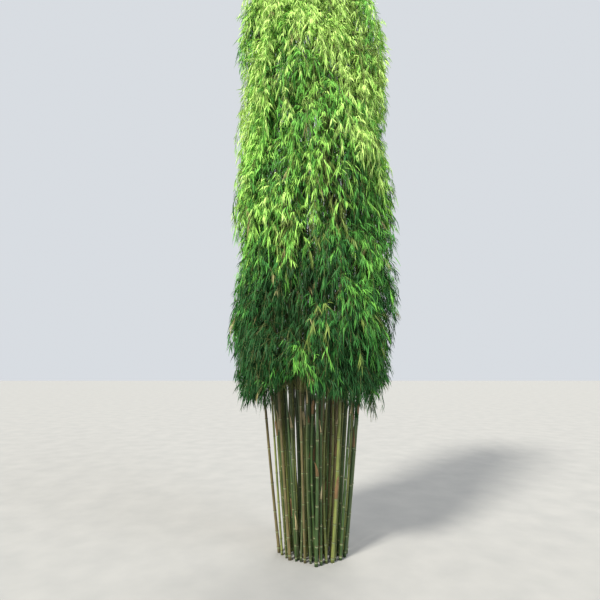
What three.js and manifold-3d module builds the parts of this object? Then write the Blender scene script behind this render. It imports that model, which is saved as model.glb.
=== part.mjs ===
// A clump of slender hedge bamboo, rooted in the ground. Its culms rise close together from one root and fan
// out a little. They carry a tall, narrow crown of drooping leaves: a skirt, a spiral of masses and a crest.
// Millimetres, +Z up. The ground is z = 0, and the middle culm stands on the origin.
import * as THREE from "three";
import { mergeVertices } from "three/addons/utils/BufferGeometryUtils.js";
import Module from "manifold-3d";

// The clump. Culms stand on a golden spiral. The outer ones end in the skirt, whose masses form a level ring.
// Each inner one carries a mass of its own, higher the nearer it stands to the middle, which has the crest.
const CULM_COUNT = 41;
const SPIRAL_COUNT = 13; // masses between the skirt and the crest
const FOOT_RADIUS = 300;
const SKIRT = { masses: 5, height: 2000, radius: 400, size: 475 };
const SPIRAL = { lowest: 2950, highest: 5700, radius: 402, size: [515, 465] };
const CREST = { height: 6210, size: 430 };
const SHOULDER = 4800; // height above which the crown narrows
const CLEAR_STEM = 1150; // ground to the lowest leaf tip
const TALLNESS = 1.9; // height of a mass as a share of its width
const UNEVEN = { radius: 30, height: 130, angle: 0.1, size: 0.07 }; // how far a mass strays from its place
const MASS_GAP = 6; // from a mass's space to the plane halfway to its neighbour

// Culms
const CULM_RADIUS = 15.5; // of the thickest, above its foot
const THIN_CULM = 0.72; // thinnest culm, as a share of the thickest
const CULM_TAPER = 0.085; // share of its thickness that a culm loses in a metre
const CULM_SIDES = 6;
const CULM_STEP = 900; // longest straight stretch of a bowed culm
const FOOT_FLARE = 1.18; // widening at the ground
const FLARE_HEIGHT = 80;
const SPREAD = 0.4; // how much the clump widens in its first metre, as a share of its foot
const STRAIGHTEN = 0.03; // how fast the culms turn upright again
const FOOT_STRAY = 13;
const BOW = 13; // how far a culm bows to its side, over BOW_LENGTH
const BOW_LENGTH = 1700;
const CULM_INTO_MASS = 280; // how far a culm runs on from where it enters its mass
const GAP = 0.5; // between a culm and its foliage

// Inside a mass
const CORE_SIDES = 11;
const CORE_RINGS = 7;
const CORE_SHARE = 0.86; // size of the dense core's ball
const CORE_FILL = [0.66, 0.98]; // how nearly its corners reach that ball and the neighbours' spaces
const TUFT_DROOP = 0.28; // below its own place, for the corner that stands out most
const CORE_HOLLOW = 0.5; // how much less it reaches towards the middle of the clump
const STEM_STEPS = 3;
const STEM_TIP_RADIUS = 5;
const STEM_BEND = 0.8; // place on the way to the middle of the mass where the stem's curve turns up
const STEM_LEAN = 0.15; // how far the stem's tip leans out, as a share of its height
const STEM_SHARE = 0.9; // height of the stem's tip, as a share of the way to the edge of the mass's space
const TWIGS = 9; // in each mass
const CREST_TWIGS = 12;
const TWIG_SIDES = 3;
const TWIG_STEPS = 1;
const TWIG_ROOTS = [0.25, 0.97]; // places on the stem of the lowest and the highest twig
const TWIG_RADIUS = [8, 5]; // at its root and at its tip
const TWIG_RISE = [-0.6, 0.8]; // radians, for the lowest and the highest twig of a mass
const TWIG_SAG = 0.5; // radians that a twig turns down along its length
const TWIG_SHARE = 0.82; // length, as a share of the way to the edge of the mass's space
const TWIG_FAN = 1.75; // radians to each side of the way out, for all masses but the crest

// Leaves, larger than life: each blade stands for a spray of leaves
const LEAVES_ON_A_TWIG = 3;
const FIRST_LEAF = 0.62; // place along the twig
const LEAF_LENGTH = 430;
const LEAF_WIDTH = 115;
const LEAF_THICKNESS = 9;
const LEAF_KEEL = 1.5; // thickness as a share of the height of its ridge over its middle
const LEAF_WIDEST = 0.38; // place along the blade
const LEAF_BOW = 0.06; // of its length
const LEAF_ROOT = 18; // how far its root lies back inside the twig
const LEAF_SPLAY = 1; // radians between a blade and its twig
const LEAF_DROOP = 0.25; // radians below its twig
const LEAF_STRAY = { heading: 0.2, pitch: 0.25, roll: 0.5 };
const STEEPEST_LEAF = -1.4;
// Share of the full length and extra droop, tried in turn until a blade fits its space
const LEAF_TRIES = [[1, 0], [1, 0.4], [0.84, 0], [0.84, 0.4], [0.7, 0.2], [0.6, 0.7]];

// Colours
const CULM_COLOURS = ["#6f7d3a", "#8a8a45", "#5f7338", "#a08f4e", "#7c8444"];
const LEAF_COLOURS = ["#3d7a33", "#7dba4e"]; // of the lowest and the highest mass
const ROUGHNESS = 0.6;

const GOLDEN_ANGLE = Math.PI * (3 - Math.sqrt(5));
const FULL_TURN = 2 * Math.PI;
const CULM_SEED = 500;
const SEARCH_STEP = 10; // millimetres, where a height is found by walking up a culm
const SMOOTHING = 0.02; // millimetres that joining's smallest edges may be moved
const HALVINGS = 20; // where a distance is found by halving
const UP = new THREE.Vector3(0, 0, 1);
const wasm = await Module();
wasm.setup();

// A repeatable stream of numbers from -1 to 1.
function stream(seed) {
  let state = Math.imul(seed + 1, 2654435761) >>> 0;
  return () => {
    state = (Math.imul(state, 1664525) + 1013904223) >>> 0;
    return state / 2 ** 31 - 1;
  };
}

function polar(radius, angle, z) {
  return new THREE.Vector3(radius * Math.cos(angle), radius * Math.sin(angle), z);
}

function mix(from, to, share) {
  return from + (to - from) * share;
}

// A mass of foliage, with the middle and the size of the space that it fills.
function makeMass(name, seed, angle, radius, height, size) {
  const stray = stream(seed);
  const free = radius > 0 ? 1 : 0;
  const heading = angle + free * UNEVEN.angle * stray();
  const wide = size * (1 + free * UNEVEN.size * stray());
  const from = radius + free * UNEVEN.radius * stray();
  const middle = polar(from, heading, height + free * UNEVEN.height * stray());
  const out = polar(free, heading, 0);
  return { name, seed, angle: heading, size: wide, tall: wide * TALLNESS, middle, out };
}

function makeSpiral() {
  const spiral = [];
  for (let i = 1; i <= SPIRAL_COUNT; i++) {
    const share = (SPIRAL_COUNT - i) / (SPIRAL_COUNT - 1);
    const height = mix(SPIRAL.lowest, SPIRAL.highest, share);
    const above = Math.max(0, (height - SHOULDER) / (CREST.height - SHOULDER));
    const radius = SPIRAL.radius * Math.sqrt(1 - above * above);
    const name = `crown_foliage_${String(SPIRAL_COUNT + 1 - i).padStart(2, "0")}`;
    spiral.push(makeMass(name, i, i * GOLDEN_ANGLE, radius, height, mix(...SPIRAL.size, share)));
  }
  return spiral;
}

function makeSkirt() {
  const skirt = [];
  for (let k = 0; k < SKIRT.masses; k++) {
    const angle = (k / SKIRT.masses) * FULL_TURN;
    const seed = SPIRAL_COUNT + 1 + k;
    skirt.push(makeMass(`skirt_foliage_${k + 1}`, seed, angle, SKIRT.radius, SKIRT.height, SKIRT.size));
  }
  return skirt;
}

// Distances are measured with heights divided by TALLNESS, so that a mass's space is a ball.
function squashed(from, to) {
  const gap = to.clone().sub(from);
  gap.z /= TALLNESS;
  return gap.length();
}

function power(mass, point) {
  return squashed(mass.middle, point) ** 2 - mass.size ** 2;
}

// Whether a point is in a mass's own space: a ball, cut flat where it meets another's and at the clear stem.
// Such a space is convex, so a blade with its corners in it is in it whole. share is for a smaller ball.
function inSpace(mass, point, share = 1) {
  const own = power(mass, point);
  if (point.z < CLEAR_STEM || squashed(mass.middle, point) > share * mass.size) return false;
  const apart = (other) => 2 * MASS_GAP * squashed(mass.middle, other.middle);
  return masses.every((other) => other === mass || power(other, point) - own > apart(other));
}

// How far a mass's space reaches from a point in it, along a direction.
function reach(mass, from, direction, share = 1) {
  let near = 0;
  let far = 2 * mass.tall;
  for (let i = 0; i < HALVINGS; i++) {
    const half = (near + far) / 2;
    if (inSpace(mass, from.clone().addScaledVector(direction, half), share)) near = half;
    else far = half;
  }
  return near;
}

// The mass that a culm carries. An outer culm goes to the part of the skirt that it rises into.
function massOf(index, culm) {
  if (index === 0) return crest;
  if (index <= SPIRAL_COUNT) return spiral[index - 1];
  const spot = culmPoint(culm, SKIRT.height);
  return skirt.reduce((best, mass) => (power(mass, spot) < power(best, spot) ? mass : best));
}

// The height where a culm ends, a little above where it enters its mass.
function endOf(culm) {
  let z = CLEAR_STEM;
  while (!inSpace(culm.mass, culmPoint(culm, z))) z += SEARCH_STEP;
  return z + CULM_INTO_MASS;
}

// The culms: each has its foot, its thickness, the mass that it carries and the height where it ends.
function makeCulms() {
  const all = [];
  for (let i = 0; i < CULM_COUNT; i++) {
    const stray = stream(CULM_SEED + i);
    const free = i > 0 ? 1 : 0;
    const angle = i * GOLDEN_ANGLE;
    const foot = polar(FOOT_RADIUS * Math.sqrt(i / (CULM_COUNT - 1)), angle, 0);
    foot.x += free * FOOT_STRAY * stray();
    foot.y += free * FOOT_STRAY * stray();
    const radius = CULM_RADIUS * mix(THIN_CULM, 1, (1 + stray()) / 2);
    const culm = { foot, radius, bow: free * BOW * stray(), side: polar(1, angle + Math.PI / 2, 0) };
    culm.mass = massOf(i, culm);
    culm.end = endOf(culm);
    all.push(culm);
  }
  return all;
}

// The middle of a culm at a height. The whole clump widens alike at each height, so no two culms cross.
function culmPoint(culm, z) {
  const metres = z / 1000;
  const wider = 1 + SPREAD * metres - STRAIGHTEN * metres * metres;
  const point = culm.foot.clone().multiplyScalar(wider);
  point.addScaledVector(culm.side, culm.bow * Math.sin((z / BOW_LENGTH) * Math.PI));
  point.z = z;
  return point;
}

function culmRadius(culm, z) {
  const flare = 1 + (FOOT_FLARE - 1) * Math.max(0, 1 - z / FLARE_HEIGHT);
  return culm.radius * flare * (1 - (CULM_TAPER * z) / 1000);
}

function weld(geometry) {
  geometry.deleteAttribute("normal");
  geometry.deleteAttribute("uv");
  return mergeVertices(geometry);
}

// Moves each corner of a geometry to where a function puts it.
function reshape(geometry, place) {
  const spots = geometry.attributes.position;
  for (let i = 0; i < spots.count; i++) {
    const spot = place(new THREE.Vector3().fromBufferAttribute(spots, i));
    spots.setXYZ(i, spot.x, spot.y, spot.z);
  }
  return geometry;
}

// A limb through stations, each with its middle, its radius and the direction that its section faces.
function limb(stations, sides) {
  const steps = stations.length - 1;
  const tube = new THREE.CylinderGeometry(1, 1, steps, sides, steps);
  tube.rotateX(Math.PI / 2);
  tube.translate(0, 0, steps / 2);
  return reshape(weld(tube), (corner) => {
    const { middle, radius, facing } = stations[Math.round(corner.z)];
    const turn = new THREE.Quaternion().setFromUnitVectors(UP, facing);
    return new THREE.Vector3(corner.x * radius, corner.y * radius, 0).applyQuaternion(turn).add(middle);
  });
}

// A culm with its flat cut at the ground. spare makes it thicker and longer, to cut its room out of a core.
function culmGeometry(culm, spare) {
  const steps = Math.ceil((culm.end - FLARE_HEIGHT) / CULM_STEP);
  const heights = [0];
  for (let i = 0; i <= steps; i++) heights.push(mix(FLARE_HEIGHT, culm.end, i / steps));
  const stations = heights.map((z) => ({
    middle: culmPoint(culm, z),
    radius: culmRadius(culm, z) + spare,
    facing: UP,
  }));
  stations[stations.length - 1].middle.z += spare;
  return limb(stations, CULM_SIDES);
}

function solidOf(geometry) {
  const vertProperties = Float32Array.from(geometry.attributes.position.array);
  const triVerts = Uint32Array.from(geometry.index.array);
  return new wasm.Manifold(new wasm.Mesh({ numProp: 3, vertProperties, triVerts }));
}

function geometryOf(solid) {
  const { vertProperties, triVerts } = solid.getMesh();
  const geometry = new THREE.BufferGeometry();
  geometry.setAttribute("position", new THREE.BufferAttribute(vertProperties, 3));
  geometry.setIndex(new THREE.BufferAttribute(triVerts, 1));
  return geometry;
}

// The dense middle of a mass. It fills its space towards its neighbours and is hollow towards the middle of
// the clump, where the culms rise. Its corners stand out by chance, and those that do droop like tufts.
function core(mass, stray) {
  const ball = weld(new THREE.SphereGeometry(1, CORE_SIDES, CORE_RINGS).rotateX(Math.PI / 2));
  return reshape(ball, (corner) => {
    const tuft = (1 + stray()) / 2;
    corner.z *= TALLNESS;
    corner.normalize();
    corner.z -= TUFT_DROOP * tuft * Math.hypot(corner.x, corner.y);
    corner.normalize();
    const inward = Math.max(0, -corner.dot(mass.out));
    const share = mix(...CORE_FILL, tuft) * (1 - CORE_HOLLOW * inward);
    return mass.middle.clone().addScaledVector(corner, share * reach(mass, mass.middle, corner, CORE_SHARE));
  });
}

// A curve from a culm's end into its mass, along which the stem grows on.
function stemCurve(culm) {
  const { mass } = culm;
  const start = culmPoint(culm, culm.end);
  start.z += GAP;
  const rising = UP.clone().addScaledVector(mass.out, STEM_LEAN).normalize();
  const height = STEM_SHARE * reach(mass, mass.middle, rising);
  const tip = mass.middle.clone().addScaledVector(rising, height);
  return new THREE.QuadraticBezierCurve3(start, start.clone().lerp(mass.middle, STEM_BEND), tip);
}

function stem(culm, curve) {
  const stations = [];
  for (let i = 0; i <= STEM_STEPS; i++) {
    const share = i / STEM_STEPS;
    stations.push({
      middle: curve.getPoint(share),
      radius: mix(culmRadius(culm, culm.end), STEM_TIP_RADIUS, share),
      facing: i ? curve.getTangent(share) : UP,
    });
  }
  return limb(stations, CULM_SIDES);
}

// A twig's path: it leaves its stem at an angle, and sags.
function twigCurve(mass, root, azimuth, rise) {
  const out = polar(1, azimuth, 0);
  const along = out.clone().multiplyScalar(Math.cos(rise)).addScaledVector(UP, Math.sin(rise));
  const length = TWIG_SHARE * reach(mass, root, along);
  const bend = root.clone().addScaledVector(along, length / 2);
  const fallen = rise - TWIG_SAG;
  const down = out.clone().multiplyScalar(Math.cos(fallen)).addScaledVector(UP, Math.sin(fallen));
  return new THREE.QuadraticBezierCurve3(root, bend, bend.clone().addScaledVector(down, length / 2));
}

function twig(curve) {
  const stations = [];
  for (let i = 0; i <= TWIG_STEPS; i++) {
    const share = i / TWIG_STEPS;
    stations.push({
      middle: curve.getPoint(share),
      radius: mix(...TWIG_RADIUS, share),
      facing: curve.getTangent(share),
    });
  }
  return limb(stations, TWIG_SIDES);
}

// A pointed blade of six faces, with a ridge along its upper side. roll turns it about its own length.
function blade(root, along, roll, size) {
  const length = size * LEAF_LENGTH;
  const across = new THREE.Vector3().crossVectors(UP, along).normalize().applyAxisAngle(along, roll);
  const face = new THREE.Vector3().crossVectors(along, across);
  const halfWidth = (size * LEAF_WIDTH) / 2 / Math.sin(FULL_TURN / 3);
  const spindle = weld(new THREE.SphereGeometry(1, 3, 2).rotateX(Math.PI / 2));
  return reshape(spindle, (corner) => {
    const end = Math.round(corner.z);
    const share = end ? (end + 1) / 2 : LEAF_WIDEST;
    const bow = end ? 0 : LEAF_BOW * length;
    return root
      .clone()
      .addScaledVector(along, share * length)
      .addScaledVector(across, -corner.y * halfWidth)
      .addScaledVector(face, (corner.x * LEAF_THICKNESS) / LEAF_KEEL + bow);
  });
}

function cornersIn(mass, geometry) {
  const spots = geometry.attributes.position;
  for (let i = 0; i < spots.count; i++) {
    if (!inSpace(mass, new THREE.Vector3().fromBufferAttribute(spots, i))) return false;
  }
  return true;
}

// Keeps what fits a mass's space and touches no culm.
function fitting(mass, geometry, limbs) {
  if (!cornersIn(mass, geometry)) return null;
  const solid = solidOf(geometry);
  return solid.intersect(limbs).isEmpty() ? solid : null;
}

// A blade in the first size and droop that fit, or none.
function fittingBlade(mass, root, heading, pitch, roll, limbs) {
  for (const [size, droop] of LEAF_TRIES) {
    const slope = Math.max(STEEPEST_LEAF, pitch - droop);
    const along = polar(Math.cos(slope), heading, Math.sin(slope));
    const solid = fitting(mass, blade(root, along, roll, size), limbs);
    if (solid) return solid;
  }
  return null;
}

// The blades of one twig: they spread to both sides of it, and the last grows on from its tip.
function leavesOf(mass, curve, limbs, stray) {
  const leaves = [];
  for (let j = 0; j < LEAVES_ON_A_TWIG; j++) {
    const share = j / (LEAVES_ON_A_TWIG - 1);
    const place = mix(FIRST_LEAF, 1, share);
    const tangent = curve.getTangent(place);
    const root = curve.getPoint(place).addScaledVector(tangent, -LEAF_ROOT);
    const side = share === 1 ? 0 : Math.cos(j * Math.PI);
    const heading = Math.atan2(tangent.y, tangent.x) - side * LEAF_SPLAY + LEAF_STRAY.heading * stray();
    const pitch = Math.asin(tangent.z) - LEAF_DROOP + LEAF_STRAY.pitch * stray();
    const solid = fittingBlade(mass, root, heading, pitch, LEAF_STRAY.roll * stray(), limbs);
    if (solid) leaves.push(solid);
  }
  return leaves;
}

// The culm from which a mass's stem grows on: the one that ends nearest to the middle of the mass.
function hostOf(mass) {
  const apart = (culm) => culmPoint(culm, culm.end).distanceTo(mass.middle);
  const own = culms.filter((culm) => culm.mass === mass);
  return own.reduce((best, culm) => (apart(culm) < apart(best) ? culm : best));
}

// A mass of foliage in one piece: core, stem, twigs and leaves, cut clear of every culm. Its twigs go round
// the stem by the golden angle, but away from the middle of the clump.
function foliage(mass, limbs) {
  const stray = stream(mass.seed);
  const host = hostOf(mass);
  const rising = stemCurve(host);
  const pieces = [solidOf(core(mass, stray)), solidOf(stem(host, rising))];
  const twigs = mass === crest ? CREST_TWIGS : TWIGS;
  for (let k = 0; k < twigs; k++) {
    const share = (k + 0.5) / twigs;
    const root = rising.getPoint(mix(...TWIG_ROOTS, share));
    const turn = k * GOLDEN_ANGLE + mass.seed;
    const azimuth = mass === crest ? turn : mass.angle + TWIG_FAN * Math.sin(turn);
    const curve = twigCurve(mass, root, azimuth, mix(...TWIG_RISE, share));
    const wood = fitting(mass, twig(curve), limbs);
    if (wood) pieces.push(wood, ...leavesOf(mass, curve, limbs, stray));
  }
  const joined = wasm.Manifold.union(pieces).subtract(limbs).asOriginal().simplify(SMOOTHING);
  return joined.decompose().reduce((most, piece) => (piece.volume() > most.volume() ? piece : most));
}

function named(name, geometry, colour) {
  const material = new THREE.MeshStandardMaterial({ color: colour, roughness: ROUGHNESS, metalness: 0 });
  const mesh = new THREE.Mesh(geometry, material);
  mesh.name = name;
  return mesh;
}

const skirt = makeSkirt();
const spiral = makeSpiral();
const crest = makeMass("crest_foliage", 0, 0, 0, CREST.height, CREST.size);
const masses = [...skirt, ...spiral.toReversed(), crest];
const culms = makeCulms();
const plant = new THREE.Group();
culms.forEach((culm, i) => {
  const name = `culm_${String(i + 1).padStart(2, "0")}`;
  plant.add(named(name, culmGeometry(culm, 0), CULM_COLOURS[i % CULM_COLOURS.length]));
});
const limbs = wasm.Manifold.union(culms.map((culm) => solidOf(culmGeometry(culm, GAP))));
for (const mass of masses) {
  const share = (mass.middle.z - SKIRT.height) / (CREST.height - SKIRT.height);
  const colour = new THREE.Color(LEAF_COLOURS[0]).lerp(new THREE.Color(LEAF_COLOURS[1]), share);
  plant.add(named(mass.name, geometryOf(foliage(mass, limbs)), colour));
}

export default plant;
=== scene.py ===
"""A clump of slender hedge bamboo: ringed canes, papery sheaths, arching branches, twigs and leaves."""

import itertools
import math

import bpy
import numpy as np
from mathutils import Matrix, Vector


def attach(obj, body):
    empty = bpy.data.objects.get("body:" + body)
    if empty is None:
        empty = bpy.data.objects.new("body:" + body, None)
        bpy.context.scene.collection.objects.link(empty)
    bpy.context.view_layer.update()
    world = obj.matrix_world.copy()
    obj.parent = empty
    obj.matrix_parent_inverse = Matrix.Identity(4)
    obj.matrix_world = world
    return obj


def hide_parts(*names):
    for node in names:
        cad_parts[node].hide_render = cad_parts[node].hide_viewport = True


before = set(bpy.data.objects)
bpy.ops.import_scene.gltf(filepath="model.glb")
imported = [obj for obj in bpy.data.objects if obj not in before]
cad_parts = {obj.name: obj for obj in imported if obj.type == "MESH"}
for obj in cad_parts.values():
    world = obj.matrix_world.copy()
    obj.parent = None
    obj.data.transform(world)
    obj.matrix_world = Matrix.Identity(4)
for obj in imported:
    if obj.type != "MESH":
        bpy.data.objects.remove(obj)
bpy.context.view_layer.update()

# The clump, in metres. These sizes are those of the solids.
CULM_COUNT = 41
SPIRAL_COUNT = 13
FOOT_RADIUS = 0.3
SKIRT = {"masses": 5, "height": 2.0, "radius": 0.4, "size": 0.475}
SPIRAL = {"lowest": 2.95, "highest": 5.7, "radius": 0.402, "size": (0.515, 0.465)}
CREST = {"height": 6.21, "size": 0.43}
SHOULDER = 4.8
CLEAR_STEM = 1.15
TALLNESS = 1.9
UNEVEN = {"radius": 0.03, "height": 0.13, "angle": 0.1, "size": 0.07}
CULM_RADIUS = 0.0155
THIN_CULM = 0.72
CULM_TAPER = 0.085
SPREAD = 0.4
STRAIGHTEN = 0.03
FOOT_STRAY = 0.013
BOW = 0.013
BOW_LENGTH = 1.7
FOOT_FLARE = 1.18
FLARE_HEIGHT = 0.08
CULM_SEED = 500
SEED_FACTOR = 2654435761
STREAM_FACTOR = 1664525
STREAM_STEP = 1013904223
STREAM_RANGE = 2**32
GOLDEN_ANGLE = math.pi * (3 - math.sqrt(5))
FULL_TURN = 2 * math.pi

# Culms in detail
TAN_EVERY = 5  # each fifth culm is an old, tan one
TAN_FIRST = 3
CULM_SIDES = 10
DETAILED_HEIGHT = 2.2  # below which nodes are modelled in full
TIP_RADIUS = 0.003
SKIRT_TOPS = (2.6, 4.9)  # heights where the outer culms end inside the crown
STEM_BEND = 0.8  # share of the way to the middle of its mass that a culm's top turns
TIP_SHARE = 0.86  # height of a culm's tip, as a share of the way to the edge of its mass's space
CULM_ENTRY = 0.6  # from the lowest leaves up to the lowest top of a culm
TOP_STEP = 0.05  # between the heights that are tried for a culm's top
TIP_DEPTH = 0.2  # in the crown, at the tops of the leaning culms
TIP_ARCH = 0.2  # how far a culm's tip arches outwards
ARCH_LENGTH = 1.1
ARCH_ABOVE = 5.9  # least top of a culm that arches
MIDDLE_HEADING = 0.6  # the way that the middle culm arches
THINNING_LENGTH = 2.4  # from a culm's tip down to where it has its full thickness
THINNING_POWER = 0.8
FIRST_INTERNODE = 0.09
FIRST_INTERNODE_RANGE = (0.7, 1.2)
FIRST_NODE = 0.5  # height of the first node, as a share of the first internode
INTERNODE = 0.29
INTERNODE_GROWTH = 1.3
INTERNODE_RANGE = (0.88, 1.12)
LAST_NODE = 0.05  # least way from the last node to the tip
RING_HEIGHT = 0.005
NODE_SWELL = 0.0017
NODE_OUTLINE = ((-2.4, 0.0), (-1.0, 0.55), (0.0, 1.0), (0.7, 0.1), (2.0, 0.0))  # ring heights and swells
HIGH_NODE_SWELL = 0.3
SWOLLEN_RADIUS = 0.014  # of a culm whose nodes swell in full
LEAST_SWELL = 0.2  # of the thinnest ones, as a share of the full swell

# Waxy bands and sheath scars at the nodes, in ring heights and node swells
RINGS = {
    "culm_wax": {"from": -3.0, "to": -1.1, "proud": 0.5, "colour": (0.2, 0.24, 0.12)},
    "culm_scars": {"from": -0.5, "to": 0.4, "proud": 1.3, "colour": (0.1, 0.07, 0.035)},
}
LOWEST_RING = 0.03

# Papery sheaths
SHEATH_ROWS = 6
SHEATH_COLUMNS = 7
SHEATH_HEIGHT = (0.09, 0.2)
SHEATH_CLASP = 2.4  # half the angle that a sheath's foot clasps
SHEATH_POINT = 0.7
SHEATH_NARROWING = 0.35
SHEATH_GAP = 0.0014
SHEATH_LOOSE = (0.001, 0.016)
SHEATH_TIP = 0.6  # how far its tip turns away, as a share of how loose it is
SHEATH_CHANCE = ((0.0, 0.7, 1.2, 1.7, 2.1), (0.05, 0.1, 0.34, 0.3, 0.0))  # at heights on the culm
PALE_SHEATHS = 0.4
SHEATH_COLOURS = {"sheaths_brown": (0.19, 0.11, 0.05), "sheaths_pale": (0.42, 0.34, 0.19)}

# Thin young culms that fill the gaps between the others
YOUNG_COUNT = 56
YOUNG_RADIUS = (0.007, 0.0118)
YOUNG_TURN = 1.9
YOUNG_BOW = (-0.055, 0.055)
YOUNG_LEAN = (0.7, 1.25)  # how much they lean out, as a share of the others' lean
YOUNG_FOOT = 0.97  # of the others' foot radius
YOUNG_TOPS = (2.2, 5.4)
PLUME_CULMS = 6  # the innermost young culms, which make the crown's plume
PLUME_TOPS = (6.2, 6.7)
PLUME_LEAN = 0.8
FOOT_SEARCH = (-0.6, 0.6, 25)  # turns between which a foot is looked for, and the number of places
LEAST_FOOT_GAP = 0.024
LEAST_CLEARANCE = 0.001  # between a young culm and the others, below the crown
CLEARANCE_STEPS = 14
BOW_TRIES = (1.0, 0.5, 0.0, -0.5, -1.0)  # shares of its bow that a young culm in the way tries
LEAN_TRIES = (0.0, 0.5, 1.0, 1.4)  # how far its lean moves towards the others' lean, and past it
THICKNESS_TRIES = (1.0, 0.85, 0.7)

# Plumes: branches of one node that arch out together and hang
OUTER_PLUMES = {"count": 190, "branches": 8, "prominence": (0.7, 1.05), "first_angle": 0.0}
INNER_PLUMES = {"count": 150, "branches": 5, "prominence": (0.3, 0.65), "first_angle": 1.0}
TIP_PLUMES = {"above": 5.2, "within": 0.75, "branches": 3, "prominence": (0.3, 0.7)}
PLUME_HEIGHTS = ((0.0, 0.17, 0.82, 1.0), (1.42, 2.05, 5.3, 6.7))  # heights at shares of the plumes
PLUME_STRAY = {"height": 0.06, "angle": 0.12}
LOWEST_NODE = 0.1  # above the clear stems, of the nodes that bear plumes
ROOM = 0.4  # level distance from a plume's node to the crown's surface
ROOT_BELOW = 0.05  # how far the node is below the height that the plume was meant for
NODE_WEIGHTS = (1, 1, 0.6)  # how much its distance counts along x, y and z
BRANCH_FAN = 0.75
BRANCH_LIFT = (0.03, 0.22)
BRANCH_FALL = (0.12, 0.5)
BRANCH_MARGIN = 0.1  # from the lowest tip of a branch down to the crown's lower edge
BRANCH_REACH = (0.08, 0.62)
BRANCH_RANGE = (0.82, 1.0)
BRANCH_TURN = 0.5
BRANCH_CURVES = {"out": 1.7, "down": 2.2}
BRANCH_STEPS = 8
BRANCH_RADIUS = (0.0024, 0.0009)
BRANCH_THICKNESS = (0.8, 1.3)
BRANCH_SIDES = 3
CREST_HEIGHTS = (5.6, 6.8)  # between which the branches come to stand up
CREST_FALL = 0.3
CREST_LIFT = 1.6

# Twigs and leaves
TWIG_SPACING = 0.043
LEAST_TWIGS = 3
FIRST_TWIG = 0.2
TWIG_PLACE = (0.4, 1.0)
TWIG_TURN = 0.5
TWIG_LENGTH = (0.09, 0.19)
TWIG_SHORTENING = (1.1, 0.8)  # from a branch's root to its tip
TWIG_SPLAY = (0.45, 1.05)
END_TWIGS = {"from": 0.95, "splay": 0.3}
TWIG_DROOP = (0.1, 0.8)
TWIG_RADIUS = (0.0009, 0.0005)
TWIG_SIDES = 3
TWIG_MARGIN = (0.0, 0.1)  # how much deeper in the crown than the leaves a twig's tip stays
TWIG_ABOVE = 0.03  # and how much further from the crown's lower edge and its top
LEAVES_ON_A_TWIG = 9
FIRST_LEAF = 0.15
LEAF_LENGTH = (0.048, 0.098)
SMALL_LEAVES = {"count": 2, "size": 0.8}  # the first ones of a twig
LEAF_WIDTH = 0.1  # as a share of its length
LEAF_SPLAY = 0.5
SPLAY_RANGE = (0.5, 1.5)
END_SPLAY = 0.1
LEAF_DROOP = (0.15, 1.5)
DROOP_RANGE = (0.6, 1.3)  # from twig to twig
LEAF_ROLL = 1.1
LEAF_CURL = 0.2
CURL_RANGE = (0.3, 1.8)
LEAF_OUTLINE = ((0.0, 0.0), (0.26, 1.0), (0.64, 0.7), (1.0, 0.0))  # places along it and widths there
DEEP_OUTLINE = ((0.0, 0.0), (0.36, 1.0), (1.0, 0.0))
DEEP = 0.3  # depth in the crown from which leaves have the plainer outline
LEAF_FACES = 4  # at most

# The crown's space
MASS_BLEND = 0.12  # how softly the masses' spaces run together
FILLED = 0.93  # share of a mass's space that its foliage reaches
HEART = {"low": 1.75, "high": 5.6, "size": 0.7}  # the least that the crown fills round its axis
LEAF_REACH = -0.02  # least depth of a leaf's tip in the crown, a little outside its surface
CREST_FREEDOM = 0.5  # how much less it may be at the crown's top
HIGHEST_LEAF = 7.08
EDGE_RISE = 0.02  # from the clear stems to the lowest place of the crown's wavy edge
EDGE_WAVE = 0.36  # how far the edge rises and falls
EDGE_WAVES = ((3, 0.9, 0.5), (7, 2.1, 0.3), (13, 0.0, 0.2))  # waves round the crown, their phases and shares
STRANDS = 0.24  # how far narrow strands hang below it
STRAND_WAVES = ((5, 0.4), (8, 2.0))
RAY_STEP = 0.02  # where the crown's surface is found by walking
RAY_STEPS = 60

# Colours
CANE_KINDS = (  # the green ones first, then tan
    ("culms_olive", (0.115, 0.132, 0.034)),
    ("culms_deep", (0.045, 0.084, 0.025)),
    ("culms_yellow", (0.19, 0.215, 0.062)),
    ("culms_grey", (0.09, 0.118, 0.047)),
    ("culms_tan", (0.15, 0.12, 0.054)),
)
GREEN_ORDER = (0, 1, 3, 2, 1, 0, 3)  # kinds of the green culms, in turn
BRANCH_COLOUR = (0.17, 0.19, 0.06)
TWIG_COLOUR = (0.2, 0.23, 0.07)
LEAF_KINDS = (  # greens from the deepest painted shade to the most painted light, then olive and straw
    ("leaves_shade", (0.016, 0.072, 0.017)),
    ("leaves_deep", (0.032, 0.145, 0.028)),
    ("leaves_mid", (0.075, 0.26, 0.042)),
    ("leaves_lit", (0.165, 0.45, 0.068)),
    ("leaves_bright", (0.335, 0.635, 0.115)),
    ("leaves_pale", (0.5, 0.73, 0.19)),
    ("leaves_olive", (0.16, 0.23, 0.05)),
    ("leaves_straw", (0.27, 0.25, 0.1)),
)
KIND_STEPS = (0.1, 0.4, 0.72, 1.05, 1.42)  # of painted light, between the greens of painted shade and light
# Painted light and shade on the leaves: more light outside the crown and higher up, painted shade deeper
# inside
LIGHT = {"outside": 1.08, "inwards": -1.9, "upwards": 0.6, "from": 2.95, "to": 5.0, "depths": (-0.1, 0.7)}
PLUME_TONE = 0.52
TONE_BY_HEIGHT = ((3.0, 5.0), (1.0, 2.0))  # the plumes' tones differ more at the top
TWIG_TONE = 0.28
OLIVE = {"plumes": 0.16, "kinds": (2, 3), "share": 0.6}  # plumes with older leaves, and what these replace
STRAW_SHARE = 0.012

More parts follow.
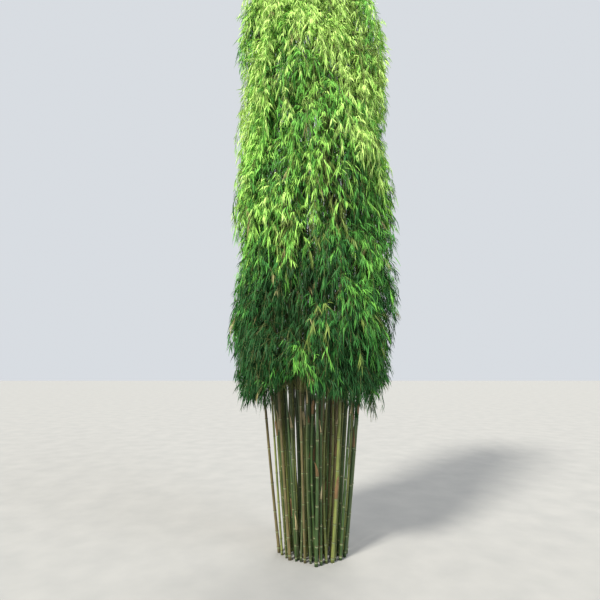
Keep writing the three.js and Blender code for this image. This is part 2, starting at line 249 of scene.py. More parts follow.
# Finishes
CANE_ROUGHNESS = 0.38
WOOD_ROUGHNESS = 0.55
RING_ROUGHNESS = 0.6
SHEATH_ROUGHNESS = 0.7
CANE_SPECULAR = 0.4
CANE_STREAKS = {"scale": 3.0, "stretch": (60, 60, 1.2), "detail": 4.0}
CANE_SHADES = ((0.28, 0.55), (0.5, 1.0), (0.74, 1.5))  # places on the ramp and shares of the colour
CANE_BLOTCHES = {"scale": 7.0}
BLOTCH_COLOURS = ((0.35, (0.66, 0.72, 0.62)), (0.65, (1.0, 1.0, 1.0)))
CANE_RELIEF = {"strength": 0.25, "distance": 0.001}
LEAF_FINISH = {"roughness": 0.55, "specular": 0.14}
LEAF_PATCHES = {"scale": 9.0, "detail": 2.0}
LEAF_SHADES = ((0.32, 0.75), (0.5, 1.0), (0.68, 1.25))
LEAF_VEINS = {"scale": 320.0, "stretch": (1, 1, 0.2), "detail": 1.0}
LEAF_RELIEF = {"strength": 0.15, "distance": 0.0006}

# Stage
FLOOR_REACH = 60.0  # from the origin to its sides
FLOOR_FINISH = {"roughness": 0.9, "specular": 0.2}
FLOOR_GRAIN = {"scale": 3.0}
FLOOR_COLOURS = ((0.3, (0.27, 0.27, 0.265)), (0.7, (0.3, 0.297, 0.29)))
SKY = {"colour": (0.86, 0.9, 0.95, 1), "strength": 0.8}
SUNS = (  # name, place that it shines from, strength, softness and colour
    ("key", (-4.8, -6.0, 7.6), 5.6, 0.2, (1.0, 0.96, 0.86)),
    ("fill", (6.0, -4.0, 4.0), 1.5, 0.7, (0.88, 0.94, 1.0)),
    ("back", (2.0, 6.0, 8.0), 1.6, 0.5, (1.0, 0.97, 0.9)),
)
CAMERA_PLACE = (-0.12, -4.14, 1.6)
CAMERA_RISE = 9.2  # degrees that it looks up
SENSOR_WIDTH = 36.0
FOCAL_LENGTH = 430  # in pixels of the photograph
PHOTO_WIDTH = 600

RANDOM = np.random.RandomState(7)
MOST_TRIANGLES = 190000  # of a joined piece
UP = np.array((0.0, 0.0, 1.0))
SIDEWAYS = np.array((1.0, 0.0, 0.0))
STEEP = 0.9  # rise of a path's direction from which its sides are set by another vector than UP
TINY = 1e-12
SLIGHT = 1e-6


def stream(seed):
    """The seeded numbers from -1 to 1 that the solids are laid out by."""
    state = ((seed + 1) * SEED_FACTOR) % STREAM_RANGE
    while True:
        state = (state * STREAM_FACTOR + STREAM_STEP) % STREAM_RANGE
        yield 2 * state / STREAM_RANGE - 1


def mix(low, high, share):
    """The number at a share of the way from low to high."""
    return low + (high - low) * share


def spread(low, high, shape=None):
    """Seeded random numbers from low to high."""
    return low + (high - low) * RANDOM.random_sample(shape)


def unit(vectors):
    """The same vectors, one unit long."""
    return vectors / np.maximum(np.linalg.norm(vectors, axis=-1, keepdims=True), TINY)


# The masses of foliage, as the solids have them

def make_mass(seed, angle, radius, height, size):
    """The middle of a mass of foliage and the size of its space."""
    stray = stream(seed)
    free = 1 if radius > 0 else 0
    heading = angle + free * UNEVEN["angle"] * next(stray)
    wide = size * (1 + free * UNEVEN["size"] * next(stray))
    from_axis = radius + free * UNEVEN["radius"] * next(stray)
    z = height + free * UNEVEN["height"] * next(stray)
    return (from_axis * math.cos(heading), from_axis * math.sin(heading), z, wide)


def make_masses():
    """The crest, the spiral below it and the skirt, in the order of the culms that carry them."""
    masses = [make_mass(0, 0, 0, CREST["height"], CREST["size"])]
    for i in range(1, SPIRAL_COUNT + 1):
        share = (SPIRAL_COUNT - i) / (SPIRAL_COUNT - 1)
        height = mix(SPIRAL["lowest"], SPIRAL["highest"], share)
        above = max(0, (height - SHOULDER) / (CREST["height"] - SHOULDER))
        radius = SPIRAL["radius"] * math.sqrt(1 - above * above)
        masses.append(make_mass(i, i * GOLDEN_ANGLE, radius, height, mix(*SPIRAL["size"], share)))
    for k in range(SKIRT["masses"]):
        angle = k / SKIRT["masses"] * FULL_TURN
        seed = SPIRAL_COUNT + 1 + k
        masses.append(make_mass(seed, angle, SKIRT["radius"], SKIRT["height"], SKIRT["size"]))
    return np.array(masses)


MASSES = make_masses()


def depth_in_crown(points):
    """How deep points lie in the crown: 0 at its surface, about 1 in a mass's middle, less than 0 outside."""
    flat = points.reshape(-1, 3)
    total = np.zeros(len(flat))
    for x, y, z, size in MASSES:
        gap = flat - (x, y, z)
        gap[:, 2] /= TALLNESS
        total += np.exp((1 - np.linalg.norm(gap, axis=1) / (FILLED * size)) / MASS_BLEND)
    gap = flat.copy()
    gap[:, 2] = (flat[:, 2] - np.clip(flat[:, 2], HEART["low"], HEART["high"])) / TALLNESS
    total += np.exp((1 - np.linalg.norm(gap, axis=1) / HEART["size"]) / MASS_BLEND)
    depth = MASS_BLEND * np.log(np.maximum(total, TINY))
    return depth.reshape(points.shape[:-1])


def least_depth(points):
    """The depth in the crown from which leaves are kept."""
    return LEAF_REACH - CREST_FREEDOM * np.interp(points[..., 2], CREST_HEIGHTS, (0, 1))


def room_to_surface(starts, headings, heights):
    """How far level rays from starts, at given heights, stay in the crown."""
    way = np.column_stack((np.cos(headings), np.sin(headings)))
    furthest = np.zeros(len(starts))
    for distance in np.arange(1, RAY_STEPS) * RAY_STEP:
        points = np.column_stack((starts[:, :2] + way * distance, heights))
        furthest = np.where(depth_in_crown(points) > 0, distance, furthest)
    return furthest


def lowest_leaf(points):
    """The height of the crown's ragged lower edge at points."""
    angle = np.arctan2(points[..., 1], points[..., 0])
    wave = sum(np.sin(number * angle + phase) * share for number, phase, share in EDGE_WAVES)
    first, second = (np.sin(number * angle + phase) for number, phase in STRAND_WAVES)
    strand = np.maximum(0, first * second) ** 2
    return CLEAR_STEM + EDGE_RISE + EDGE_WAVE * (0.5 + 0.5 * wave) - STRANDS * strand


# Culms

def make_culms():
    """Each culm's foot, thickness, bow, side and top, and the middle of its own mass if it carries one."""
    culms = []
    for i in range(CULM_COUNT):
        stray = stream(CULM_SEED + i)
        free = 1 if i > 0 else 0
        angle = i * GOLDEN_ANGLE
        radius = FOOT_RADIUS * math.sqrt(i / (CULM_COUNT - 1))
        foot = np.array((radius * math.cos(angle), radius * math.sin(angle)))
        foot[0] += free * FOOT_STRAY * next(stray)
        foot[1] += free * FOOT_STRAY * next(stray)
        thick = CULM_RADIUS * mix(THIN_CULM, 1, (1 + next(stray)) / 2)
        bow = free * BOW * next(stray)
        side = np.array((-math.sin(angle), math.cos(angle)))
        culm = {"index": i, "foot": foot, "radius": thick, "bow": bow, "side": side, "lean": 1.0}
        if i <= SPIRAL_COUNT:
            x, y, z, size = MASSES[i]
            culm["top"] = z + TIP_SHARE * size * TALLNESS
            culm["aim"] = np.array((x, y))
            culm["bend"] = z - size * TALLNESS
        else:
            culm["top"] = top_inside(culm, mix(*SKIRT_TOPS, (1 + next(stray)) / 2))
            culm["aim"] = None
        culms.append(culm)
    return culms


def clearance(culm, others):
    """The least gap between a culm and others below the crown."""
    z = np.linspace(0, CLEAR_STEM, CLEARANCE_STEPS)
    line = culm_line(culm, z)
    radius = culm_radius(culm, z)
    gaps = [np.linalg.norm(line - culm_line(other, z), axis=1) - culm_radius(other, z) for other in others]
    return (np.min(gaps, axis=0) - radius).min()


def kept_clear(culm, others):
    """A young culm, with its bow, lean or thickness changed where it would run into another."""
    best = culm
    widest = clearance(culm, others)
    for thinner, evener, straighter in itertools.product(THICKNESS_TRIES, LEAN_TRIES, BOW_TRIES):
        if widest > LEAST_CLEARANCE:
            break
        other = dict(culm, bow=culm["bow"] * straighter, lean=mix(culm["lean"], 1, evener))
        other["radius"] = culm["radius"] * thinner
        wide = clearance(other, others)
        if wide > widest:
            best, widest = other, wide
    return best


def make_young_culms(culms):
    """Thin culms in the widest gaps between the feet of the others; the inner ones make the crown's plume."""
    feet = [culm["foot"] for culm in culms]
    young = []
    for j in range(YOUNG_COUNT):
        radius = YOUNG_FOOT * FOOT_RADIUS * math.sqrt((j + 0.5) / YOUNG_COUNT)
        turns = YOUNG_TURN + j * GOLDEN_ANGLE + np.linspace(*FOOT_SEARCH)
        places = radius * np.column_stack((np.cos(turns), np.sin(turns)))
        gaps = np.array([min(np.linalg.norm(place - foot) for foot in feet) for place in places])
        best = int(np.argmax(gaps))
        if gaps[best] < LEAST_FOOT_GAP:
            continue
        foot = places[best]
        feet.append(foot)
        top = spread(*PLUME_TOPS) if j < PLUME_CULMS else spread(*YOUNG_TOPS)
        side = np.array((-math.sin(turns[best]), math.cos(turns[best])))
        culm = {"index": CULM_COUNT + j, "foot": foot, "radius": spread(*YOUNG_RADIUS), "side": side}
        culm["bow"] = spread(*YOUNG_BOW)
        culm["lean"] = spread(*YOUNG_LEAN) if j >= PLUME_CULMS else PLUME_LEAN
        culm["top"] = top
        culm["aim"] = None
        culm = kept_clear(culm, culms + young)
        if j >= PLUME_CULMS:
            culm["top"] = top_inside(culm, top)
        young.append(culm)
    return young


def culm_line(culm, z):
    """The culm's middle at heights z, by the rule of the solids."""
    wider = 1 + culm["lean"] * (SPREAD * z - STRAIGHTEN * z * z)
    bow = culm["bow"] * np.sin(z / BOW_LENGTH * math.pi)
    flat = culm["foot"][None, :] * wider[:, None] + culm["side"][None, :] * bow[:, None]
    return np.column_stack((flat, z))


def top_inside(culm, top):
    """A culm's top, lowered to where it would come near the crown's surface."""
    heights = np.arange(CLEAR_STEM + CULM_ENTRY, top, TOP_STEP)
    near = heights[depth_in_crown(culm_line(culm, heights)) < TIP_DEPTH]
    return near[0] if len(near) else top


def culm_path(culm, z):
    """The culm's line, its top turned to the middle of its mass, and a tall one's tip arched outwards."""
    path = culm_line(culm, z)
    if culm["aim"] is not None:
        share = np.clip((z - culm["bend"]) / (culm["top"] - culm["bend"]), 0, 1)
        share = share * share * (3 - 2 * share) * STEM_BEND
        path[:, :2] += (culm["aim"] - path[:, :2]) * share[:, None]
    if culm["top"] > ARCH_ABOVE:
        heading = math.atan2(*culm["foot"][::-1]) if culm["index"] else MIDDLE_HEADING
        arch = TIP_ARCH * np.clip((z - culm["top"] + ARCH_LENGTH) / ARCH_LENGTH, 0, 1) ** 2
        path[:, 0] += arch * math.cos(heading)
        path[:, 1] += arch * math.sin(heading)
    return path


def culm_radius(culm, z):
    """The culm's radius at heights z, flared at its foot and thinning to its tip."""
    flare = 1 + (FOOT_FLARE - 1) * np.clip(1 - z / FLARE_HEIGHT, 0, 1)
    plain = culm["radius"] * flare * (1 - CULM_TAPER * z)
    thinning = min(THINNING_LENGTH, culm["top"] - CLEAR_STEM)
    near_tip = np.clip((culm["top"] - z) / thinning, 0, 1) ** THINNING_POWER
    return TIP_RADIUS + (plain - TIP_RADIUS) * near_tip


def node_heights(culm):
    """Where the culm's rings are: close together at the foot, and then an internode apart."""
    heights = []
    gap = FIRST_INTERNODE * spread(*FIRST_INTERNODE_RANGE)
    z = gap * FIRST_NODE
    while z < culm["top"] - LAST_NODE:
        heights.append(z)
        gap = min(gap * INTERNODE_GROWTH, INTERNODE)
        z += gap * spread(*INTERNODE_RANGE)
    return np.array(heights)


# Meshes

def new_object(name, points, faces, material, slot):
    """A smooth mesh object of triangles from arrays, which rides on the plant."""
    mesh = bpy.data.meshes.new(name)
    mesh.vertices.add(len(points))
    mesh.vertices.foreach_set("co", points.astype(np.float32).ravel())
    mesh.loops.add(faces.size)
    mesh.loops.foreach_set("vertex_index", faces.astype(np.int32).ravel())
    mesh.polygons.add(len(faces))
    mesh.polygons.foreach_set("loop_start", np.arange(0, faces.size, 3, dtype=np.int32))
    mesh.polygons.foreach_set("use_smooth", np.full(len(faces), True))
    mesh.update(calc_edges=True)
    mesh.materials.append(material)
    piece = bpy.data.objects.new(name, mesh)
    bpy.context.scene.collection.objects.link(piece)
    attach(piece, "root")
    return piece


def tubes(paths, radii, sides):
    """Points and triangles of tubes along paths: an array of tube, step and place."""
    count, steps, _ = paths.shape
    tangent = unit(np.gradient(paths, axis=1))
    mean = unit(tangent.mean(axis=1))
    guide = np.where(np.abs(mean[:, 2:3]) < STEEP, UP[None, :], SIDEWAYS[None, :])
    across = unit(np.cross(tangent, guide[:, None, :]))
    upper = np.cross(across, tangent)
    turn = np.arange(sides) / sides * FULL_TURN
    ring = across[:, :, None, :] * np.cos(turn)[None, None, :, None]
    ring = ring + upper[:, :, None, :] * np.sin(turn)[None, None, :, None]
    points = paths[:, :, None, :] + ring * radii[:, :, None, None]
    base = np.arange(count)[:, None, None] * steps * sides
    row = np.arange(steps - 1)[None, :, None] * sides
    here = np.arange(sides)[None, None, :]
    beside = (here + 1) % sides
    a = base + row + here
    b = base + row + beside
    faces = np.stack((np.stack((a, b + sides, b), -1), np.stack((a, a + sides, b + sides), -1)), -2)
    return points.reshape(-1, 3), faces.reshape(-1, 3)


def joined(meshes):
    """Many lists of points and triangles as one."""
    points = np.concatenate([mesh[0] for mesh in meshes])
    starts = np.cumsum([0] + [len(mesh[0]) for mesh in meshes[:-1]])
    faces = np.concatenate([mesh[1] + start for mesh, start in zip(meshes, starts)])
    return points, faces


def culm_mesh(culm):
    """A culm with its swollen nodes, closed at its foot and its tip."""
    levels = [0.0]
    swell = [0.0]
    for z in culm["nodes"]:
        if z > DETAILED_HEIGHT:
            levels.append(z)
            swell.append(HIGH_NODE_SWELL)
            continue
        levels += [z + place * RING_HEIGHT for place, _ in NODE_OUTLINE]
        swell += [size for _, size in NODE_OUTLINE]
    levels.append(culm["top"])
    swell.append(0.0)
    z = np.maximum.accumulate(np.array(levels))
    radius = culm_radius(culm, z)
    radius = radius + NODE_SWELL * np.array(swell) * np.clip(radius / SWOLLEN_RADIUS, LEAST_SWELL, 1)
    points, faces = tubes(culm_path(culm, z)[None], radius[None], CULM_SIDES)
    points[:, 2] = np.maximum(points[:, 2], 0)
    corner = np.arange(1, CULM_SIDES - 1)
    foot = np.stack((0 * corner, corner, corner + 1), axis=1)
    tip = foot[:, ::-1] + len(points) - CULM_SIDES
    return points, np.concatenate((faces, foot, tip))


# Foliage

def nodes_in_crown(culms):
    """The places of all nodes that can bear a plume."""
    places = np.concatenate([culm_path(culm, culm["nodes"]) for culm in culms])
    return places[places[:, 2] > CLEAR_STEM + LOWEST_NODE]


def plume_places(kind, nodes):
    """Root, heading and prominence of plumes that are spread evenly round the crown by a golden spiral."""
    count = kind["count"]
    order = np.arange(count)
    heights = np.interp((order + 0.5) / count, *PLUME_HEIGHTS)
    heights = heights + spread(-PLUME_STRAY["height"], PLUME_STRAY["height"], count)
    angles = kind["first_angle"] + order * GOLDEN_ANGLE
    angles = angles + spread(-PLUME_STRAY["angle"], PLUME_STRAY["angle"], count)
    radius = room_to_surface(np.zeros((count, 3)), angles, heights) - ROOM
    targets = np.column_stack((radius * np.cos(angles), radius * np.sin(angles), heights - ROOT_BELOW))
    gap = targets[:, None] - nodes[None]
    nearest = np.argmin(np.linalg.norm(gap * NODE_WEIGHTS, axis=-1), axis=1)
    return nodes[nearest], angles, spread(*kind["prominence"], count)


def tip_plumes(culms):
    """The same for the small plumes on the last nodes of the tall culms."""
    roots = []
    for culm in culms:
        if culm["top"] > TIP_PLUMES["above"]:
            nodes = culm["nodes"][culm["nodes"] > culm["top"] - TIP_PLUMES["within"]]
            roots += list(culm_path(culm, nodes))
    count = len(roots)
    return np.array(roots), spread(0, FULL_TURN, count), spread(*TIP_PLUMES["prominence"], count)


def branch_paths(roots, headings, prominence, numbers):
    """Branches that rise from their nodes, arch out towards the surface and hang, and the plume of each."""
    plume = np.repeat(np.arange(len(roots)), numbers)
    count = len(plume)
    root = roots[plume]
    heading = headings[plume] + BRANCH_FAN * spread(-1, 1, count)
    high = np.interp(root[:, 2], CREST_HEIGHTS, (0, 1))
    lift = spread(*BRANCH_LIFT, count) * mix(1, CREST_LIFT, high)
    fall = spread(*BRANCH_FALL, count) * mix(1, CREST_FALL, high)
    fall = np.minimum(fall, np.maximum(0, root[:, 2] - lowest_leaf(root) - BRANCH_MARGIN))
    room = room_to_surface(root, heading, root[:, 2])
    room = np.minimum(room, room_to_surface(root, heading, root[:, 2] - fall))
    out = np.clip(room * prominence[plume] * spread(*BRANCH_RANGE, count), *BRANCH_REACH)
    share = np.linspace(0, 1, BRANCH_STEPS)[None, :]
    turn = heading[:, None] + spread(-BRANCH_TURN, BRANCH_TURN, count)[:, None] * share
    level = out[:, None] * (1 - (1 - share) ** BRANCH_CURVES["out"])
    height = lift[:, None] * 4 * share * (1 - share) - fall[:, None] * share ** BRANCH_CURVES["down"]
    path = root[:, None, :] + np.stack((level * np.cos(turn), level * np.sin(turn), height), -1)
    inside = depth_in_crown(path[:, 1:]).min(axis=1) > least_depth(path[:, -1])
    path, plume = path[inside], plume[inside]
    length = np.linalg.norm(np.diff(path, axis=1), axis=-1).sum(axis=1)
    return path, length, plume


def at_share(paths, share):
    """Points and tangents on paths at shares of the way along their steps, one share for each path."""
    steps = paths.shape[1] - 1
    place = np.clip(share * steps, 0, steps - SLIGHT)
    low = place.astype(int)
    row = np.arange(len(paths))
    a, b = paths[row, low], paths[row, low + 1]
    return a + (b - a) * (place - low)[:, None], unit(b - a)


def frame_of(direction):
    """Two vectors at right angles to directions: a level one and an upper one."""
    across = unit(np.cross(direction, UP[None, :]) + SLIGHT)
    return across, np.cross(across, direction)


def grow_twigs(paths, lengths):
    """Leafy twigs round the outer part of each branch, which bend down, and the branch of each."""
    numbers = np.maximum(LEAST_TWIGS, (lengths * (1 - FIRST_TWIG) / TWIG_SPACING).astype(int))
    host = np.repeat(np.arange(len(paths)), numbers)
    order = np.concatenate([np.arange(n) for n in numbers])
    count = len(order)
    share = mix(FIRST_TWIG, 1, (order + spread(*TWIG_PLACE, count)) / numbers[host])
    root, tangent = at_share(paths[host], share)
    across, upper = frame_of(tangent)
    around = order * GOLDEN_ANGLE + spread(-TWIG_TURN, TWIG_TURN, count)
    splay = spread(*TWIG_SPLAY, count) * np.where(share > END_TWIGS["from"], END_TWIGS["splay"], 1)
    sideways = across * np.cos(around)[:, None] + upper * np.sin(around)[:, None]
    along = tangent * np.cos(splay)[:, None] + sideways * np.sin(splay)[:, None]
    along = unit(along - UP[None, :] * spread(*TWIG_DROOP, count)[:, None])
    length = spread(*TWIG_LENGTH, count) * mix(*TWIG_SHORTENING, share)
    tips = root + along * length[:, None]
    fits = depth_in_crown(tips) > least_depth(tips) + spread(*TWIG_MARGIN, count)
    fits = fits & (tips[:, 2] > lowest_leaf(tips) + TWIG_ABOVE) & (tips[:, 2] < HIGHEST_LEAF - TWIG_ABOVE)
    return np.stack((root, tips), axis=1)[fits], host[fits]


def grow_leaves(twigs):
    """Base, direction, side and length of each leaf on the twigs, and the twig that it grows on."""
    count = len(twigs)
    host = np.repeat(np.arange(count), LEAVES_ON_A_TWIG)
    order = np.tile(np.arange(LEAVES_ON_A_TWIG), count)
    total = len(host)
    last = order == LEAVES_ON_A_TWIG - 1
    share = mix(FIRST_LEAF, 1.0, order / (LEAVES_ON_A_TWIG - 1))
    base, tangent = at_share(twigs[host], share)
    level, _ = frame_of(tangent)
    side = np.where(order % 2 == 0, 1.0, -1.0) * np.where(last, END_SPLAY, 1.0)
    splay = side * LEAF_SPLAY * spread(*SPLAY_RANGE, total)
    along = tangent * np.cos(splay)[:, None] + level * np.sin(splay)[:, None]
    droop = spread(*LEAF_DROOP, total) * np.repeat(spread(*DROOP_RANGE, count), LEAVES_ON_A_TWIG)
    along = unit(along - UP[None, :] * droop[:, None])
    roll = spread(-LEAF_ROLL, LEAF_ROLL, total)
    across, normal = frame_of(along)
    across = across * np.cos(roll)[:, None] + normal * np.sin(roll)[:, None]
    length = spread(*LEAF_LENGTH, total) * np.where(order < SMALL_LEAVES["count"], SMALL_LEAVES["size"], 1.0)
    return base, along, across, length, host


def leaf_mesh(base, along, across, length, outline):
    """Lanceolate blades that curl downwards, with the points of an outline."""
    rows = []
    faces = []
    last = None
    curl = LEAF_CURL * spread(*CURL_RANGE, len(base))
    for place, wide in outline:
        middle = base + along * (place * length)[:, None] - UP[None, :] * (curl * place**2 * length)[:, None]
        half = across * (wide * LEAF_WIDTH * length / 2)[:, None]
        here = range(len(rows), len(rows) + (1 if wide == 0 else 2))
        rows += [middle] if wide == 0 else [middle - half, middle + half]
        if last is not None:
            if len(here) == 2:
                faces.append((last[0], here[1], here[0]))
            if len(last) == 2:
                faces.append((last[0], last[1], here[-1]))
        last = here
    points = np.stack(rows, axis=1)
    start = np.arange(len(base))[:, None, None] * len(rows)
    return points.reshape(-1, 3), (start + np.array(faces)[None]).reshape(-1, 3)


def leaf_kind(twigs, plume, tone, older):
    """Which colour each twig's leaves have: painted light outside and at the top, painted shade deeper inside
    and below, with random tones by plume and twig.
    """
    tip = twigs[:, -1]
    depth = np.clip(depth_in_crown(tip), *LIGHT["depths"])
    height = np.clip(tip[:, 2], None, LIGHT["to"]) - LIGHT["from"]
    # painted light and shade: lighter towards the crown's outside and top, darker deeper inside
    light = LIGHT["outside"] + LIGHT["inwards"] * depth + LIGHT["upwards"] * height
    light = light + tone[plume] * np.interp(tip[:, 2], *TONE_BY_HEIGHT)
    light = light + spread(-TWIG_TONE, TWIG_TONE, len(tip))
    kinds = np.digitize(light, KIND_STEPS)
    replaced = np.isin(kinds, OLIVE["kinds"]) & (RANDOM.random_sample(len(tip)) < OLIVE["share"])
    kinds[older[plume] & replaced] = len(LEAF_KINDS) - 2
    kinds[RANDOM.random_sample(len(tip)) < STRAW_SHARE] = len(LEAF_KINDS) - 1
    return kinds


# Materials

def new_material(name, roughness, specular):
    """A material with a Principled shader, its node tree and the shader."""
    material = bpy.data.materials.new(name)
    material.use_nodes = True
    shader = material.node_tree.nodes["Principled BSDF"]
    shader.inputs["Roughness"].default_value = roughness
    shader.inputs["Specular IOR Level"].default_value = specular
    return material, material.node_tree, shader


def noise(tree, scale, stretch=(1, 1, 1), detail=3.0):
    """A noise texture in the object's own coordinates."""
    place = tree.nodes.new("ShaderNodeTexCoord")
    mapping = tree.nodes.new("ShaderNodeMapping")
    mapping.inputs["Scale"].default_value = stretch
    texture = tree.nodes.new("ShaderNodeTexNoise")
    texture.inputs["Scale"].default_value = scale
    texture.inputs["Detail"].default_value = detail
    tree.links.new(place.outputs["Object"], mapping.inputs["Vector"])
    tree.links.new(mapping.outputs["Vector"], texture.inputs["Vector"])
    return texture.outputs["Fac"]


def ramp(tree, source, stops):
    """A colour ramp of (place, colour) stops."""
    node = tree.nodes.new("ShaderNodeValToRGB")
    elements = node.color_ramp.elements
    while len(elements) < len(stops):
        elements.new(0.5)
    for element, (place, colour) in zip(elements, stops):
        element.position = place
        element.color = (*colour, 1)
    tree.links.new(source, node.inputs["Fac"])
    return node.outputs["Color"]


def multiplied(tree, a, b):
    """The product of two colours."""
    node = tree.nodes.new("ShaderNodeMix")
    node.data_type = "RGBA"
    node.blend_type = "MULTIPLY"
    node.inputs["Factor"].default_value = 1.0
    tree.links.new(a, node.inputs["A"])
    tree.links.new(b, node.inputs["B"])
    return node.outputs["Result"]


def bump(tree, shader, source, strength, distance):
    """Fine relief from a texture."""
    node = tree.nodes.new("ShaderNodeBump")
    node.inputs["Strength"].default_value = strength
    node.inputs["Distance"].default_value = distance
    tree.links.new(source, node.inputs["Height"])
    tree.links.new(node.outputs["Normal"], shader.inputs["Normal"])


def shades(colour, stops):
    """Stops of a ramp from a colour's darker to its lighter shades."""
    return [(place, tuple(min(1.0, part * factor) for part in colour)) for place, factor in stops]


def cane_material(name, colour, roughness):
    """Cane with streaks along its grain and faint blotches."""
    material, tree, shader = new_material(name, roughness, CANE_SPECULAR)
    streaks = noise(tree, **CANE_STREAKS)
    blotches = ramp(tree, noise(tree, **CANE_BLOTCHES), BLOTCH_COLOURS)
    grain = ramp(tree, streaks, shades(colour, CANE_SHADES))
    tree.links.new(multiplied(tree, grain, blotches), shader.inputs["Base Color"])
    bump(tree, shader, streaks, **CANE_RELIEF)
    return material


def leaf_material(name, colour):
    """Leaf green that varies from spray to spray, with a faint sheen."""
    material, tree, shader = new_material(name, **LEAF_FINISH)
    patches = noise(tree, **LEAF_PATCHES)
    tree.links.new(ramp(tree, patches, shades(colour, LEAF_SHADES)), shader.inputs["Base Color"])
    bump(tree, shader, noise(tree, **LEAF_VEINS), **LEAF_RELIEF)
    return material


# Pieces

def cane_kind(culm):
    """The number of a culm's colour."""
    if culm["index"] < CULM_COUNT and culm["index"] % TAN_EVERY == TAN_FIRST:
        return len(CANE_KINDS) - 1
    return GREEN_ORDER[culm["index"] % len(GREEN_ORDER)]


def build_culms(culms):
    """The culms, joined by colour, each in the place of its solid."""
    for number, (name, colour) in enumerate(CANE_KINDS):
        own = [culm for culm in culms if cane_kind(culm) == number]
        points, faces = joined([culm_mesh(culm) for culm in own])
        slot = "culm_tan" if name == "culms_tan" else "culm_green"
        piece = new_object(name, points, faces, cane_material(name, colour, CANE_ROUGHNESS), slot)
        solids = [culm["index"] for culm in own if culm["index"] < CULM_COUNT]
        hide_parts(*[f"culm_{index + 1:02d}" for index in solids])


def build_rings(culms):
    """A pale, waxy band below each low node, and the brown scar of its sheath on it."""
    for name, ring in RINGS.items():
        bands = []
        for culm in culms:
            for z in culm["nodes"][(culm["nodes"] < DETAILED_HEIGHT) & (culm["nodes"] > LOWEST_RING)]:
                levels = z + np.array((ring["from"], ring["to"])) * RING_HEIGHT
                radius = culm_radius(culm, levels) + NODE_SWELL * ring["proud"]
                bands.append(tubes(culm_path(culm, levels)[None], radius[None], CULM_SIDES))
        points, faces = joined(bands)
        new_object(name, points, faces, cane_material(name, ring["colour"], RING_ROUGHNESS), "culm_tan")


def sheath_mesh(culm, z):
    """A papery sheath that clasps a culm above a node, and stands off at its tip."""
    height = spread(*SHEATH_HEIGHT)
    turn = spread(0, FULL_TURN)
    loose = spread(*SHEATH_LOOSE)
    up = np.linspace(0, 1, SHEATH_ROWS)
    middle = culm_path(culm, z + up * height)
    half = SHEATH_CLASP * (1 - up) ** SHEATH_POINT * (1 - SHEATH_NARROWING * up)
    angle = turn + np.linspace(-1, 1, SHEATH_COLUMNS)[None, :] * half[:, None]
    out = culm_radius(culm, z + up * height) + SHEATH_GAP + loose * up**2
    points = np.empty((SHEATH_ROWS, SHEATH_COLUMNS, 3))
    points[:, :, 0] = middle[:, 0:1] + out[:, None] * np.cos(angle)
    points[:, :, 1] = middle[:, 1:2] + out[:, None] * np.sin(angle)
    points[:, :, 2] = middle[:, 2:3]
    points[-1, :, 0] += loose * SHEATH_TIP * math.cos(turn)
    points[-1, :, 1] += loose * SHEATH_TIP * math.sin(turn)
    rows = np.arange(SHEATH_ROWS - 1) * SHEATH_COLUMNS
    a = (rows[:, None] + np.arange(SHEATH_COLUMNS - 1)[None, :]).ravel()
    lower = np.stack((a, a + 1, a + SHEATH_COLUMNS + 1), 1)
    upper = np.stack((a, a + SHEATH_COLUMNS + 1, a + SHEATH_COLUMNS), 1)
    return points.reshape(-1, 3), np.concatenate((lower, upper))


def build_sheaths(culms):
    """Sheaths on some of the lower nodes, most of them near the crown's lower edge."""
    meshes = {name: [] for name in SHEATH_COLOURS}
    for culm in culms:
        for z in culm["nodes"]:
            if RANDOM.random_sample() > np.interp(z, *SHEATH_CHANCE):
                continue
            name = "sheaths_pale" if RANDOM.random_sample() < PALE_SHEATHS else "sheaths_brown"
            meshes[name].append(sheath_mesh(culm, z))
    for name, colour in SHEATH_COLOURS.items():
        points, faces = joined(meshes[name])
        new_object(name, points, faces, cane_material(name, colour, SHEATH_ROUGHNESS), "culm_tan")


def build_branches(culms):
    """The branches of all plumes, in place of the masses, and their paths, lengths and plumes."""
    nodes = nodes_in_crown(culms)
    groups = [plume_places(OUTER_PLUMES, nodes), plume_places(INNER_PLUMES, nodes), tip_plumes(culms)]
    roots, headings, prominence = (np.concatenate(values) for values in zip(*groups))
    branches = [kind["branches"] for kind in (OUTER_PLUMES, INNER_PLUMES, TIP_PLUMES)]
    numbers = np.repeat(branches, [len(group[0]) for group in groups])
    paths, lengths, plume = branch_paths(roots, headings, prominence, numbers)
    thickness = spread(*BRANCH_THICKNESS, len(paths))
    radii = np.linspace(*BRANCH_RADIUS, BRANCH_STEPS)[None, :] * thickness[:, None]
    wood = cane_material("branch", BRANCH_COLOUR, WOOD_ROUGHNESS)
    piece = new_object("branches", *tubes(paths, radii, BRANCH_SIDES), wood, "foliage")
    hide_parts(*[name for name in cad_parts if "foliage" in name])
    return paths, lengths, plume


def build_twigs(twigs):
    """The twigs, joined into as few pieces as their triangles allow."""
    wood = cane_material("twig", TWIG_COLOUR, WOOD_ROUGHNESS)
    pieces = math.ceil(len(twigs) * 2 * TWIG_SIDES / MOST_TRIANGLES)
    for number, own in enumerate(np.array_split(twigs, pieces)):
        radii = np.tile(TWIG_RADIUS, (len(own), 1))
        new_object(f"twigs_{number + 1}", *tubes(own, radii, TWIG_SIDES), wood, "foliage")


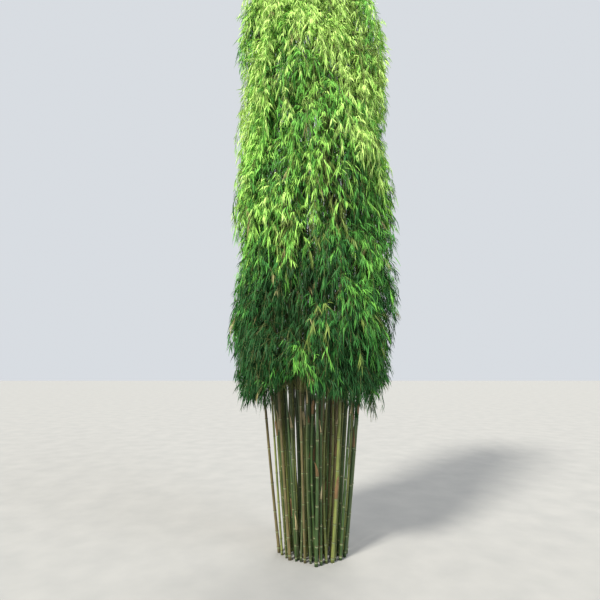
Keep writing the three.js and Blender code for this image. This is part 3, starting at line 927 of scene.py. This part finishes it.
def build_leaves(twigs, kinds):
    """The leaves of each colour, joined into pieces. Those deep in the crown have the plainer outline."""
    base, along, across, length, twig = grow_leaves(twigs)
    tip = base + along * length[:, None] - UP[None, :] * (LEAF_CURL * length)[:, None]
    depth = depth_in_crown(tip)
    fits = (depth > least_depth(tip)) & (tip[:, 2] > lowest_leaf(tip)) & (tip[:, 2] < HIGHEST_LEAF)
    for number, (name, colour) in enumerate(LEAF_KINDS):
        own = np.flatnonzero(fits & (kinds[twig] == number))
        material = leaf_material(name, colour)
        pieces = math.ceil(len(own) * LEAF_FACES / MOST_TRIANGLES)
        for part, chosen in enumerate(np.array_split(own, pieces)):
            meshes = []
            for outline, deep in ((LEAF_OUTLINE, False), (DEEP_OUTLINE, True)):
                some = chosen[(depth[chosen] > DEEP) == deep]
                meshes.append(leaf_mesh(base[some], along[some], across[some], length[some], outline))
            new_object(f"{name}_{part + 1}", *joined(meshes), material, "foliage")


def build_foliage(culms):
    """Branches, twigs and leaves, with the leaf colours, painted light and shade among them, dealt out by
    plume and twig.
    """
    paths, lengths, plume = build_branches(culms)
    twigs, branch = grow_twigs(paths, lengths)
    build_twigs(twigs)
    plumes = plume.max() + 1
    tone = spread(-PLUME_TONE, PLUME_TONE, plumes)
    older = RANDOM.random_sample(plumes) < OLIVE["plumes"]
    build_leaves(twigs, leaf_kind(twigs, plume[branch], tone, older))


# Stage

def build_floor():
    """A plain pale floor."""
    mesh = bpy.data.meshes.new("floor")
    far = FLOOR_REACH
    corners = [(-far, -far, 0), (far, -far, 0), (far, far, 0), (-far, far, 0)]
    mesh.from_pydata(corners, [], [(0, 1, 2, 3)])
    floor = bpy.data.objects.new("floor", mesh)
    bpy.context.scene.collection.objects.link(floor)
    material, tree, shader = new_material("floor", **FLOOR_FINISH)
    colour = ramp(tree, noise(tree, **FLOOR_GRAIN), FLOOR_COLOURS)
    tree.links.new(colour, shader.inputs["Base Color"])
    mesh.materials.append(material)


def build_sky():
    """A pale, even sky."""
    world = bpy.data.worlds.new("studio")
    world.use_nodes = True
    background = world.node_tree.nodes["Background"]
    background.inputs["Color"].default_value = SKY["colour"]
    background.inputs["Strength"].default_value = SKY["strength"]
    bpy.context.scene.world = world
    bpy.context.scene.view_settings.view_transform = "Standard"


def build_sun(name, place, strength, softness, colour):
    """A soft sun that shines from a place towards the origin."""
    light = bpy.data.lights.new(name, "SUN")
    light.energy = strength
    light.angle = softness
    light.color = colour
    lamp = bpy.data.objects.new(name, light)
    bpy.context.scene.collection.objects.link(lamp)
    lamp.location = place
    lamp.rotation_mode = "QUATERNION"
    lamp.rotation_quaternion = Vector(place).to_track_quat("Z", "Y")


def build_camera():
    """The photograph's camera: at eye height, looking up a little."""
    data = bpy.data.cameras.new("camera")
    data.sensor_fit = "HORIZONTAL"
    data.sensor_width = SENSOR_WIDTH
    data.lens = SENSOR_WIDTH * FOCAL_LENGTH / PHOTO_WIDTH
    camera = bpy.data.objects.new("camera", data)
    bpy.context.scene.collection.objects.link(camera)
    camera.location = CAMERA_PLACE
    camera.rotation_euler = (math.radians(90 + CAMERA_RISE), 0, 0)
    bpy.context.scene.camera = camera


culms = make_culms()
culms += make_young_culms(culms)
for culm in culms:
    culm["nodes"] = node_heights(culm)
build_culms(culms)
build_rings(culms)
build_sheaths(culms)
build_foliage(culms)
build_floor()
build_sky()
for sun in SUNS:
    build_sun(*sun)
build_camera()
